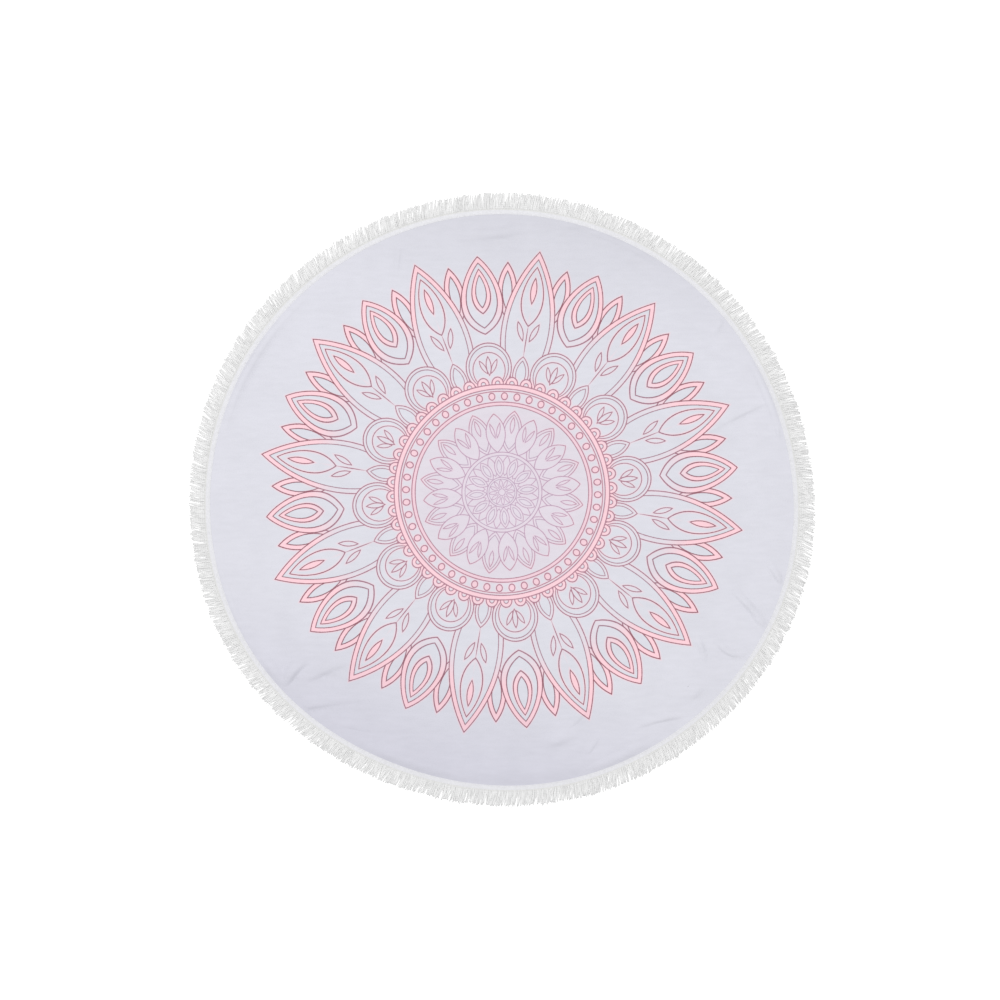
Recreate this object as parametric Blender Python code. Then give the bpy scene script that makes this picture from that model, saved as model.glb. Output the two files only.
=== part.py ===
"""Round beach towel laid out flat: a terry panel with a fringe trim sewn round its edge.

Metres, +Z up. The origin is on the floor, under the middle of the towel.
"""

from collections import namedtuple
from math import atan2, cos, hypot, pi, radians, sin
from random import Random

import bmesh
import bpy
from mathutils import Vector

COLLECTION = "round_beach_towel"

# The panel
CLOTH_RADIUS = 0.702
CLOTH_THICKNESS = 0.002
CLOTH_COLOUR = (0.74, 0.73, 0.82, 1.0)
CLOTH_ROUGHNESS = 0.95
GRID_CELLS = 20  # along each side of the square that is eased into the round panel
RIM_RINGS = (0.034, 0.025, 0.0155, 0.0065, 0.0)  # rings of cells beside the edge, from it
HALVINGS = 3  # how often a cell's side may be halved where it crosses a crease
CREASE_CELL = 0.013  # a side no longer than this stays whole
CREASE_MARGIN = 0.003  # how far past a crease the finer cells reach
SIDE_SAMPLES = 8  # steps in which a cell's side is tried for creases
RIM_REST = 0.016  # a crease has run out this far from the sewn edge
SHARP_DEGREES = 50.0

# The trim
SEAM_GAP = 0.0003
TAPE_WIDTH = 0.013
TAPE_THICKNESS = 0.0016
TRIM_COLOUR = (0.86, 0.86, 0.87, 1.0)
TRIM_ROUGHNESS = 0.85
LOCKS = 240
LOCK_SHARE = 0.82  # of each lock's pitch; the rest is the gap beside it
PITCH_SPREAD = 0.30  # of the mean pitch
LOCK_REACH = 0.0350  # beyond the tape
REACH_SPREAD = 0.0035
LEAN_SPREAD = 0.0022  # how far a tip leans to either side
TIP_SPREAD = 0.12  # of a tip's width
LOCK_SEED = 11

# The sewn edge strays from a circle in a few long waves. The single wave keeps the towel's
# middle over the origin.
RimWave = namedtuple("RimWave", "count height crest_degrees")
RIM_WAVES = (
    RimWave(1, 0.0037, -70.0),
    RimWave(2, 0.0085, -6.0),
    RimWave(3, 0.0037, -37.0),
    RimWave(5, 0.0011, -8.0),
    RimWave(6, 0.0012, -23.0),
)

# Creases: soft ridges from one point to another. Bow is how far the line's middle lies to its
# left, and peak is the share of its length at which it stands highest.
Crease = namedtuple("Crease", "x1 y1 x2 y2 bow width height peak")
CREASES = (
    Crease(-0.523, -0.472, -0.476, -0.378, -0.004, 0.028, 0.0065, 0.40),
    Crease(-0.494, -0.443, -0.380, -0.399, 0.004, 0.026, 0.0035, 0.40),
    Crease(-0.497, -0.506, -0.324, -0.484, 0.005, 0.030, 0.0060, 0.30),
    Crease(-0.429, -0.545, -0.283, -0.567, 0.004, 0.032, 0.0035, 0.45),
    Crease(0.095, -0.600, 0.200, -0.560, -0.003, 0.034, 0.0040, 0.40),
    Crease(0.322, -0.562, 0.450, -0.528, 0.006, 0.028, 0.0055, 0.60),
    Crease(0.497, -0.312, 0.600, -0.380, -0.015, 0.028, 0.0040, 0.55),
    Crease(0.548, -0.198, 0.640, -0.318, 0.002, 0.030, 0.0055, 0.60),
    Crease(0.640, -0.135, 0.680, -0.214, 0.000, 0.026, 0.0050, 0.55),
    Crease(0.492, 0.169, 0.655, 0.234, 0.004, 0.028, 0.0045, 0.60),
    Crease(0.514, 0.385, 0.543, 0.450, 0.003, 0.026, 0.0040, 0.60),
    Crease(-0.174, 0.631, 0.094, 0.662, -0.003, 0.036, 0.0030, 0.65),
)

# Puckers: ridges that run beside the sewn edge, where the stitching draws the cloth in.
Pucker = namedtuple("Pucker", "from_degrees to_degrees inset width height")
PUCKERS = (
    Pucker(11.0, 33.0, 0.0170, 0.030, 0.0060),
    Pucker(43.0, 69.0, 0.0150, 0.028, 0.0040),
    Pucker(134.0, 171.0, 0.0150, 0.028, 0.0055),
    Pucker(191.0, 208.0, 0.0150, 0.028, 0.0030),
    Pucker(210.5, 222.5, 0.0170, 0.032, 0.0060),
    Pucker(236.0, 259.0, 0.0160, 0.030, 0.0050),
    Pucker(286.0, 311.0, 0.0160, 0.030, 0.0055),
)

# A lock's sections beyond the tape: how far out, how wide and how thick against its root.
LockStep = namedtuple("LockStep", "reach width thickness")
LOCK_STEPS = (
    LockStep(0.55, 1.06, 0.85),
    LockStep(1.00, 0.84, 0.55),
)


def clear_scene():
    for old in list(bpy.data.objects):
        bpy.data.objects.remove(old, do_unlink=True)


def edge_radius(angle):
    """Distance from the origin to the panel's sewn edge."""
    waves = (w.height * cos(w.count * (angle - radians(w.crest_degrees))) for w in RIM_WAVES)
    return CLOTH_RADIUS + sum(waves)


def polar(radius, angle):
    return Vector((radius * cos(angle), radius * sin(angle), 0.0))


def smooth(share):
    """Eases from 0 to 1 as share goes from 0 to 1, and holds there."""
    share = min(max(share, 0.0), 1.0)
    return share * share * (3.0 - 2.0 * share)


def ridge(offset, width):
    """Cross-section of a fold, 1 on its line and 0 from half its width."""
    side = min(abs(offset) / (0.5 * width), 1.0)
    return (1.0 - side * side) ** 2


def place_on_crease(crease, x, y):
    """Share of the crease's length at a point, and the point's distance from its line."""
    run_x = crease.x2 - crease.x1
    run_y = crease.y2 - crease.y1
    length = hypot(run_x, run_y)
    share = ((x - crease.x1) * run_x + (y - crease.y1) * run_y) / length**2
    left = ((y - crease.y1) * run_x - (x - crease.x1) * run_y) / length
    held = min(max(share, 0.0), 1.0)
    return share, left - crease.bow * 4.0 * held * (1.0 - held)


def place_on_pucker(pucker, x, y):
    """Share of the pucker's sweep at a point, and the point's distance from its line."""
    angle = atan2(y, x)
    swept = (angle - radians(pucker.from_degrees)) % (2.0 * pi)
    share = swept / radians(pucker.to_degrees - pucker.from_degrees)
    return share, edge_radius(angle) - hypot(x, y) - pucker.inset


def fold_height(x, y):
    """Height of the cloth's underside: 0 on the floor, more under a fold."""
    height = 0.0
    for crease in CREASES:
        share, offset = place_on_crease(crease, x, y)
        run = smooth(share / crease.peak) * smooth((1.0 - share) / (1.0 - crease.peak))
        height = max(height, crease.height * run * ridge(offset, crease.width))
    height *= smooth((edge_radius(atan2(y, x)) - hypot(x, y)) / RIM_REST)
    for pucker in PUCKERS:
        share, offset = place_on_pucker(pucker, x, y)
        run = smooth(2.0 * share) * smooth(2.0 * (1.0 - share))
        height = max(height, pucker.height * run * ridge(offset, pucker.width))
    return height


def under_crease(point):
    for crease in CREASES:
        share, offset = place_on_crease(crease, point.x, point.y)
        if 0.0 < share < 1.0 and abs(offset) < 0.5 * crease.width + CREASE_MARGIN:
            return True
    return False


def needs_halving(side):
    """Whether a cell's side is too long to follow a crease that it crosses."""
    if side.calc_length() < CREASE_CELL:
        return False
    start, end = side.verts
    shares = [step / SIDE_SAMPLES for step in range(SIDE_SAMPLES + 1)]
    return any(under_crease(start.co.lerp(end.co, share)) for share in shares)


def on_disc(across, up):
    """A point of the square from -1 to 1, eased into a round outline inside the rim's rings."""
    if across == 0.0 and up == 0.0:
        return Vector((0.0, 0.0, 0.0))
    if abs(across) > abs(up):
        point = polar(across, 0.25 * pi * up / across)
    else:
        point = polar(up, 0.5 * pi - 0.25 * pi * across / up)
    return point * (edge_radius(atan2(point.y, point.x)) - RIM_RINGS[0])


def set_from_edge(vert, inset):
    """Moves a vertex in or out until it lies this far inside the sewn edge."""
    angle = atan2(vert.co.y, vert.co.x)
    vert.co = polar(edge_radius(angle) - inset, angle)


def extruded(result):
    """The new vertices of an extrusion."""
    return [part for part in result["geom"] if isinstance(part, bmesh.types.BMVert)]


def cloth_mesh():
    """An even grid over the round panel, finer under its creases and raised along its folds."""
    sheet = bmesh.new()
    bmesh.ops.create_grid(sheet, x_segments=GRID_CELLS, y_segments=GRID_CELLS, size=1.0)
    for vert in sheet.verts:
        vert.co = on_disc(vert.co.x, vert.co.y)
    for inset in RIM_RINGS[1:]:
        rim = [side for side in sheet.edges if side.is_boundary]
        for vert in extruded(bmesh.ops.extrude_edge_only(sheet, edges=rim)):
            set_from_edge(vert, inset)
    for _ in range(HALVINGS):
        long_sides = [side for side in sheet.edges if needs_halving(side)]
        bmesh.ops.subdivide_edges(
            sheet, edges=long_sides, cuts=1, use_grid_fill=True, use_single_edge=True
        )
        for vert in sheet.verts:
            if vert.is_boundary:
                set_from_edge(vert, RIM_RINGS[-1])
    bmesh.ops.triangulate(sheet, faces=sheet.faces[:])
    for vert in sheet.verts:
        vert.co.z = fold_height(vert.co.x, vert.co.y)
    for vert in extruded(bmesh.ops.extrude_face_region(sheet, geom=sheet.faces[:])):
        vert.co.z += CLOTH_THICKNESS
    bmesh.ops.recalc_face_normals(sheet, faces=sheet.faces[:])
    return mesh_from(sheet, "cloth")


def lock_angles():
    """Where each lock starts and ends round the tape, in turn, with uneven pitches."""
    chance = Random(LOCK_SEED)
    pitches = [chance.uniform(1.0 - PITCH_SPREAD, 1.0 + PITCH_SPREAD) for _ in range(LOCKS)]
    turn = 2.0 * pi / sum(pitches)
    angles = []
    start = 0.0
    for pitch in pitches:
        angles.append(start)
        angles.append(start + pitch * turn * LOCK_SHARE)
        start += pitch * turn
    return angles


def draw_out_lock(trim, root, chance):
    """Extrudes one piece of the tape's outer wall into a lock that lies on the floor."""
    base = root.calc_center_median()
    outward = Vector((base.x, base.y, 0.0)).normalized()
    along = Vector((-outward.y, outward.x, 0.0))
    long = LOCK_REACH + chance.uniform(-REACH_SPREAD, REACH_SPREAD)
    lean = chance.uniform(-LEAN_SPREAD, LEAN_SPREAD)
    flare = 1.0 + chance.uniform(-TIP_SPREAD, TIP_SPREAD)
    shape = [((vert.co - base).dot(along), vert.co.z) for vert in root.verts]
    end = root
    for step in LOCK_STEPS:
        end = bmesh.ops.extrude_discrete_faces(trim, faces=[end])["faces"][0]
        for vert, (side, height) in zip(end.verts, shape, strict=True):
            across = side * step.width * (1.0 + (flare - 1.0) * step.reach)
            across += lean * step.reach**2
            vert.co = Vector((base.x, base.y, 0.0)) + outward * long * step.reach
            vert.co += along * across
            vert.co.z = height * step.thickness


def fringe_mesh():
    """The tape as a flat ring, with every second piece of its outer wall drawn out to a lock."""
    chance = Random(LOCK_SEED)
    angles = lock_angles()
    trim = bmesh.new()
    circle = bmesh.ops.create_circle(trim, segments=len(angles), radius=1.0)["verts"]
    for vert, angle in zip(circle, angles, strict=True):
        vert.co = polar(edge_radius(angle) + SEAM_GAP, angle)
    for vert in extruded(bmesh.ops.extrude_edge_only(trim, edges=trim.edges[:])):
        vert.co += vert.co.normalized() * TAPE_WIDTH
    for vert in extruded(bmesh.ops.extrude_face_region(trim, geom=trim.faces[:])):
        vert.co.z = TAPE_THICKNESS
    bmesh.ops.recalc_face_normals(trim, faces=trim.faces[:])
    for root in lock_roots(trim):
        draw_out_lock(trim, root, chance)
    return mesh_from(trim, "fringe")


def lock_roots(trim):
    """Every second piece of the tape's outer wall, in turn round it."""
    walls = []
    for face in trim.faces:
        middle = face.calc_center_median()
        is_wall = abs(face.normal.z) < 0.5
        if is_wall and face.normal.dot(middle) > 0.0:
            walls.append((atan2(middle.y, middle.x) % (2.0 * pi), face))
    walls.sort(key=lambda placed: placed[0])
    return [face for _, face in walls[::2]]


def mesh_from(shape, name):
    mesh = bpy.data.meshes.new(name)
    shape.to_mesh(mesh)
    shape.free()
    return mesh


def fabric(name, colour, roughness):
    """A plain cloth finish."""
    finish = bpy.data.materials.new(name)
    finish.use_nodes = True
    principled = finish.node_tree.nodes["Principled BSDF"]
    principled.inputs["Base Color"].default_value = colour
    principled.inputs["Roughness"].default_value = roughness
    principled.inputs["Metallic"].default_value = 0.0
    return finish


def add_piece(collection, name, mesh, finish):
    piece = bpy.data.objects.new(name, mesh)
    piece.data.materials.append(finish)
    collection.objects.link(piece)
    return piece


def main():
    clear_scene()
    collection = bpy.data.collections.new(COLLECTION)
    bpy.context.scene.collection.children.link(collection)

    terry = fabric("terry", CLOTH_COLOUR, CLOTH_ROUGHNESS)
    cloth = add_piece(collection, "cloth", cloth_mesh(), terry)
    cloth.data.shade_smooth()
    cloth.data.set_sharp_from_angle(angle=radians(SHARP_DEGREES))

    cotton = fabric("cotton trim", TRIM_COLOUR, TRIM_ROUGHNESS)
    add_piece(collection, "fringe", fringe_mesh(), cotton)


main()
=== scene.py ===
import math
import random

import bpy
import numpy as np
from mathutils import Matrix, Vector, noise


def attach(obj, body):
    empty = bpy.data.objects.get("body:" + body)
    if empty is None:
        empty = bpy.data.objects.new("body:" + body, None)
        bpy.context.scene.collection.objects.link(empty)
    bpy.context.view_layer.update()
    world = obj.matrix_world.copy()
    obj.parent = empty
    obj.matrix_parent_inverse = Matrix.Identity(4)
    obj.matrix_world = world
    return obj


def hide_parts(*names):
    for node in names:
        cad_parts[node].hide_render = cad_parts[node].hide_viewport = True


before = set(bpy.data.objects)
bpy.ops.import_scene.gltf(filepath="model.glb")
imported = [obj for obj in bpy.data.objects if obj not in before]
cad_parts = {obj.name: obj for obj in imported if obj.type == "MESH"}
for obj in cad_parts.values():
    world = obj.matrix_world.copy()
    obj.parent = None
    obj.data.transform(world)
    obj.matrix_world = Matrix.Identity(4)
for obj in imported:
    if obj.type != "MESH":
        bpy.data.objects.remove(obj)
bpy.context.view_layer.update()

# sizes that the towel's pieces share, in metres

outline = {
    "clothRadius": 0.702,
    "seamGap": 0.0003,
    "tapeWidth": 0.013,
    "waves": (  # count round the edge, height, crest in degrees
        (1, 0.0037, -70.0),
        (2, 0.0085, -6.0),
        (3, 0.0037, -37.0),
        (5, 0.0011, -8.0),
        (6, 0.0012, -23.0),
    ),
}

cloth = {
    "cells": 140,          # along each side of the square that is eased into the disc
    "halvings": 2,         # of the cells under the folds
    "foldShown": 0.0003,   # a fold that lifts the cloth by more than this gets finer cells
    "rim": 0.9986,         # where the last ring of cells starts, as a share of the radius
    "thickness": 0.0020,
    "rimRest": 0.016,      # creases run out this far from the sewn edge
    "swell": 0.0010,       # height of the cloth's slight unevenness between the folds
    "swellSize": 0.070,
    "swellLevel": 0.7,     # the height at which its noise is cut
    "swellNoise": (0.9, 2.1, 3),   # roughness, step from layer to layer, layers
    "swellBalance": (0.5, 0.6),   # the noise's mean and its strength
    "swellRest": 0.030,    # the unevenness runs out this far from the sewn edge
    "mapMargin": 1.01,     # the upper side's room in the map for baking, against its size
    "backMap": (0.13, 0.068),   # the underside's size and place in that map
    "upperSlope": 0.05,    # faces whose normals rise more than this belong to the upper side
}

# x1, y1, x2, y2: a crease's ends. bow: how far its middle lies to its left. peak: the share of its
# length where it stands highest. lean: from -1 to 1, how much steeper its left or right side is.
creaseColumns = ("x1", "y1", "x2", "y2", "bow", "width", "height", "peak", "lean")
creaseRows = (
    (-0.538, -0.470, -0.460, -0.376, 0.009, 0.040, 0.0088, 0.42, -0.25),
    (-0.498, -0.446, -0.352, -0.385, 0.004, 0.042, 0.0064, 0.42, -0.25),
    (-0.512, -0.509, -0.308, -0.486, 0.005, 0.036, 0.0046, 0.28, -0.40),
    (-0.429, -0.545, -0.275, -0.569, 0.004, 0.034, 0.0026, 0.45, -0.35),
    (0.092, -0.597, 0.198, -0.556, -0.003, 0.046, 0.0054, 0.40, -0.15),
    (0.300, -0.566, 0.462, -0.524, 0.009, 0.024, 0.0047, 0.62, -0.35),
    (0.511, -0.318, 0.610, -0.376, -0.026, 0.024, 0.0044, 0.52, -0.35),
    (0.543, -0.201, 0.655, -0.325, 0.002, 0.025, 0.0062, 0.55, -0.35),
    (0.636, -0.133, 0.692, -0.226, 0.000, 0.024, 0.0048, 0.60, -0.40),
    (0.478, 0.150, 0.668, 0.246, 0.006, 0.027, 0.0038, 0.60, -0.30),
    (0.514, 0.385, 0.543, 0.450, 0.003, 0.026, 0.0028, 0.60, -0.30),
    (-0.190, 0.628, 0.098, 0.662, -0.003, 0.040, 0.0052, 0.65, -0.20),
    # fainter ones, which the solids leave out
    (0.145, -0.575, 0.238, -0.484, 0.002, 0.022, 0.0019, 0.40, -0.30),
    (0.198, -0.637, 0.244, -0.565, 0.002, 0.024, 0.0030, 0.45, -0.20),
    (0.468, -0.318, 0.498, -0.408, 0.004, 0.020, 0.0046, 0.50, 0.10),
    (0.440, -0.493, 0.500, -0.440, 0.001, 0.046, 0.0052, 0.50, -0.10),
    (0.424, 0.431, 0.555, 0.310, 0.006, 0.020, 0.0018, 0.50, -0.30),
    (-0.256, 0.530, -0.244, 0.640, 0.002, 0.022, 0.0028, 0.50, -0.20),
    (0.594, -0.250, 0.652, -0.322, -0.004, 0.024, 0.0040, 0.50, -0.30),
    (0.664, 0.205, 0.678, 0.132, 0.000, 0.018, 0.0046, 0.50, -0.10),
)

# from, to in degrees round the edge; inset: how far inside it the ridge runs
puckerColumns = ("start", "end", "inset", "width", "height")
puckerRows = (
    (9.0, 35.0, 0.0105, 0.030, 0.0066),
    (38.0, 96.0, 0.0085, 0.023, 0.0030),
    (126.0, 176.0, 0.0120, 0.031, 0.0070),
    (188.0, 217.0, 0.0090, 0.025, 0.0032),
    (210.5, 223.5, 0.0168, 0.039, 0.0064),
    (227.0, 272.0, 0.0180, 0.043, 0.0060),
    (282.0, 307.0, 0.0160, 0.038, 0.0056),
    # a broad soft fall towards the edge, which the solids leave out
    (222.0, 322.0, 0.0300, 0.064, 0.0036),
)


def edgeRadius(angle):
    radius = outline["clothRadius"]
    for count, height, crest in outline["waves"]:
        radius = radius + height * np.cos(count * (angle - math.radians(crest)))
    return radius


def smooth(share):
    share = np.clip(share, 0.0, 1.0)
    return share * share * (3.0 - 2.0 * share)


def ridge(offset, width, lean=0.0):
    # a fold's cross-section, 1 on its line and 0 at its foot, with one side made narrower
    half = 0.5 * width * np.where(offset > 0.0, 1.0 - lean, 1.0 + lean)
    side = np.minimum(np.abs(offset) / half, 1.0)
    return (1.0 - side * side) ** 2


def foldLift(x, y):
    # height of the cloth's underside over the floor
    angle = np.arctan2(y, x)
    inset = edgeRadius(angle) - np.hypot(x, y)
    lift = np.zeros_like(x)
    for row in creaseRows:
        crease = dict(zip(creaseColumns, row, strict=True))
        runX = crease["x2"] - crease["x1"]
        runY = crease["y2"] - crease["y1"]
        length = math.hypot(runX, runY)
        share = ((x - crease["x1"]) * runX + (y - crease["y1"]) * runY) / length**2
        left = ((y - crease["y1"]) * runX - (x - crease["x1"]) * runY) / length
        held = np.clip(share, 0.0, 1.0)
        offset = left - crease["bow"] * 4.0 * held * (1.0 - held)
        run = smooth(share / crease["peak"]) * smooth((1.0 - share) / (1.0 - crease["peak"]))
        raised = crease["height"] * run * ridge(offset, crease["width"], crease["lean"])
        lift = np.maximum(lift, raised)
    lift = lift * smooth(inset / cloth["rimRest"])
    for row in puckerRows:
        pucker = dict(zip(puckerColumns, row, strict=True))
        swept = (angle - math.radians(pucker["start"])) % (2.0 * math.pi)
        share = swept / math.radians(pucker["end"] - pucker["start"])
        run = smooth(2.0 * share) * smooth(2.0 * (1.0 - share))
        raised = pucker["height"] * run * ridge(inset - pucker["inset"], pucker["width"])
        lift = np.maximum(lift, raised)
    return lift


def clothLift(x, y):
    # the folds, with a slight swell between them
    inset = edgeRadius(np.arctan2(y, x)) - np.hypot(x, y)
    size, level = cloth["swellSize"], cloth["swellLevel"]
    waves = np.array([
        noise.fractal(Vector((px, py, level)) / size, *cloth["swellNoise"])
        for px, py in zip(x.ravel(), y.ravel(), strict=True)
    ]).reshape(x.shape)
    mean, strength = cloth["swellBalance"]
    swell = cloth["swell"] * np.clip(mean + strength * waves, 0.0, 1.0)
    return foldLift(x, y) + swell * smooth(inset / cloth["swellRest"])


def pieceFrom(name, vertices, faces):
    mesh = bpy.data.meshes.new(name)
    mesh.from_pydata(vertices, [], faces)
    mesh.update()
    piece = bpy.data.objects.new(name, mesh)
    bpy.context.collection.objects.link(piece)
    return piece


def gridPiece(name, across, up, size):
    bpy.ops.object.select_all(action="DESELECT")
    bpy.ops.mesh.primitive_grid_add(x_subdivisions=across, y_subdivisions=up, size=size)
    piece = bpy.context.object
    piece.name = piece.data.name = name
    return piece


def onlySelect(piece):
    bpy.ops.object.select_all(action="DESELECT")
    piece.select_set(True)
    bpy.context.view_layer.objects.active = piece


def applyModifiers(piece):
    onlySelect(piece)
    for modifier in list(piece.modifiers):
        bpy.ops.object.modifier_apply(modifier=modifier.name)


def closeSeams(piece, distance):
    # merges doubled points and turns all faces outwards
    onlySelect(piece)
    bpy.ops.object.mode_set(mode="EDIT")
    bpy.ops.mesh.select_all(action="SELECT")
    bpy.ops.mesh.remove_doubles(threshold=distance)
    bpy.ops.mesh.normals_make_consistent(inside=False)
    bpy.ops.object.mode_set(mode="OBJECT")


def setUvs(piece, maps):
    # the piece's maps by name, in place of those that its primitive brought along
    layers = piece.data.uv_layers
    for layer in list(layers):
        layers.remove(layer)
    for name, coordinates in maps.items():
        flat = np.asarray(coordinates, dtype=np.float32).ravel()
        layers.new(name=name).data.foreach_set("uv", flat)


def readRows(items, name):
    # a place or a direction for each of a mesh's points or faces
    values = np.empty(len(items) * 3)
    items.foreach_get(name, values)
    return values.reshape(-1, 3)


def readCounts(items, name):
    values = np.empty(len(items), dtype=np.int64)
    items.foreach_get(name, values)
    return values


def takeFinish(piece, material, slot, *nodes):
    piece.data.materials.clear()
    piece.data.materials.append(material)
    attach(piece, "root")
    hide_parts(*nodes)


def newMaterial(name):
    material = bpy.data.materials.new(name)
    material.use_nodes = True
    tree = material.node_tree
    return material, tree, tree.nodes["Principled BSDF"]


def newGroup(name, inputs, outputs, vectors=()):
    # a group's sockets are plain numbers, but for those named as vectors
    group = bpy.data.node_groups.new(name, "ShaderNodeTree")
    for way, sockets in (("INPUT", inputs), ("OUTPUT", outputs)):
        for socket in sockets:
            kind = "NodeSocketVector" if socket in vectors else "NodeSocketFloat"
            group.interface.new_socket(name=socket, in_out=way, socket_type=kind)
    given, out = group.nodes.new("NodeGroupInput"), group.nodes.new("NodeGroupOutput")
    return group, given.outputs, out.inputs


def feed(tree, socket, value):
    # a socket takes another node's output, or a plain value
    if isinstance(value, bpy.types.NodeSocket):
        tree.links.new(value, socket)
    else:
        socket.default_value = value


def give(tree, node, values):
    for socket, value in values.items():
        feed(tree, node.inputs[socket], value)


def useGroup(tree, group, values):
    node = tree.nodes.new("ShaderNodeGroup")
    node.node_tree = group
    give(tree, node, values)
    return node.outputs


def maths(tree, operation, *values):
    node = tree.nodes.new("ShaderNodeMath")
    node.operation = operation
    for socket, value in zip(node.inputs, values, strict=False):
        feed(tree, socket, value)
    return node.outputs[0]


def ease(tree, value, low, high, toLow=0.0, toHigh=1.0):
    node = tree.nodes.new("ShaderNodeMapRange")
    for socket, given in zip(node.inputs, (value, low, high, toLow, toHigh), strict=False):
        feed(tree, socket, given)
    return node.outputs[0]


def axesOf(tree, vector):
    node = tree.nodes.new("ShaderNodeSeparateXYZ")
    feed(tree, node.inputs[0], vector)
    return node.outputs


def ownPlace(tree):
    return tree.nodes.new("ShaderNodeTexCoord").outputs["Object"]


def mixColours(tree, share, first, second):
    # the colours' sockets come after those for numbers and vectors
    node = tree.nodes.new("ShaderNodeMix")
    node.data_type = "RGBA"
    give(tree, node, {0: share, 6: first, 7: second})
    return node.outputs[2]


def grainGroup():
    # pile, fuzz and soft patches: noise on a place, which may be stretched along an axis
    group, given, out = newGroup(
        "fibreGrain", ("Place", "Stretch", "Scale", "Detail", "Roughness"), ("Grain",),
        vectors=("Place", "Stretch"))
    stretched = group.nodes.new("ShaderNodeVectorMath")
    stretched.operation = "MULTIPLY"
    give(group, stretched, {0: given["Place"], 1: given["Stretch"]})
    texture = group.nodes.new("ShaderNodeTexNoise")
    feed(group, texture.inputs["Vector"], stretched.outputs[0])
    give(group, texture, {name: given[name] for name in ("Scale", "Detail", "Roughness")})
    feed(group, out["Grain"], texture.outputs["Fac"])
    return group


fibreGrain = grainGroup()


def grain(tree, place, scale, detail=2.0, roughness=0.5, stretch=(1.0, 1.0, 1.0)):
    return useGroup(tree, fibreGrain, {
        "Place": place,
        "Stretch": stretch,
        "Scale": scale,
        "Detail": detail,
        "Roughness": roughness,
    })["Grain"]


def shaded(tree, colour, shade):
    # a colour made darker or lighter by a share round 1
    node = tree.nodes.new("ShaderNodeVectorMath")
    node.operation = "SCALE"
    give(tree, node, {0: colour, "Scale": shade})
    return node.outputs[0]


def addBump(tree, surface, height, strength, distance):
    node = tree.nodes.new("ShaderNodeBump")
    give(tree, node, {"Height": height, "Strength": strength, "Distance": distance})
    feed(tree, surface.inputs["Normal"], node.outputs[0])


def paint(tree, surface, colour, look):
    give(tree, surface, {
        "Base Color": colour,
        "Roughness": look["roughness"],
        "Specular IOR Level": look["specular"],
    })


def srgb(red, green, blue):
    # a colour given as on a screen, from 0 to 255
    def linear(value):
        value = value / 255.0
        return value / 12.92 if value <= 0.04045 else ((value + 0.055) / 1.055) ** 2.4

    return (linear(red), linear(green), linear(blue), 1.0)


picture = {
    "metresPerPixel": 0.002429,
    "width": 1000,
    "originPixel": (501.5, 499.6),   # where the towel's middle lies in the photograph
    "lens": 90.0,
    "sensor": 36.0,
}


def makeCamera():
    span = picture["metresPerPixel"] * picture["width"]
    centre = picture["width"] / 2
    aimX = (centre - picture["originPixel"][0]) * picture["metresPerPixel"]
    aimY = (picture["originPixel"][1] - centre) * picture["metresPerPixel"]
    data = bpy.data.cameras.new("overhead")
    data.lens = picture["lens"]
    data.sensor_width = picture["sensor"]
    camera = bpy.data.objects.new("overhead", data)
    camera.location = (aimX, aimY, span * picture["lens"] / picture["sensor"])
    bpy.context.collection.objects.link(camera)
    bpy.context.scene.camera = camera


makeCamera()
print("camera placed")

# a twelve-fold design of plain petals, leaves, lobes, rings and beads round the middle
printing = {
    "middle": (0.001, 0.018),
    "turn": 6.0,           # degrees
    "edge": 0.0005,        # softness of a printed line's edge
    "drift": (420.0, 2.0),   # scale and detail of the pile's wandering, which moves the print
    "driftReach": 0.0014,
    "wear": (0.3, 0.6, 0.80),   # fibres' range and the share of ink on the most worn ones
    "soak": 0.0055,        # how far the ink soaks into the pile on each side of a line
    "soaked": (            # distance from the middle, how much of it
        (0.000, 0.80), (0.185, 0.80), (0.205, 0.80), (0.275, 0.80), (0.290, 0.45), (0.410, 0.45),
        (0.470, 0.80),
    ),
    "lineColours": (       # distance from the middle, colour
        (0.000, srgb(176, 154, 178)),
        (0.150, srgb(172, 142, 166)),
        (0.205, srgb(170, 116, 134)),
        (0.300, srgb(160, 110, 128)),
        (0.420, srgb(150, 102, 120)),
        (0.480, srgb(136, 74, 88)),
    ),
    "bandColours": (
        (0.000, srgb(227, 204, 218)),
        (0.180, srgb(226, 198, 211)),
        (0.260, srgb(244, 203, 211)),
    ),
    "filled": (            # distance from the middle, how strongly the bands are filled
        (0.000, 0.45), (0.185, 0.45), (0.205, 0.95), (0.270, 0.95), (0.290, 0.10), (0.410, 0.15),
        (0.470, 1.00),
    ),
    "tinted": (            # and how strongly the whole cloth is tinted
        (0.000, 0.38), (0.100, 0.34), (0.185, 0.24), (0.270, 0.0),
    ),
}

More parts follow.
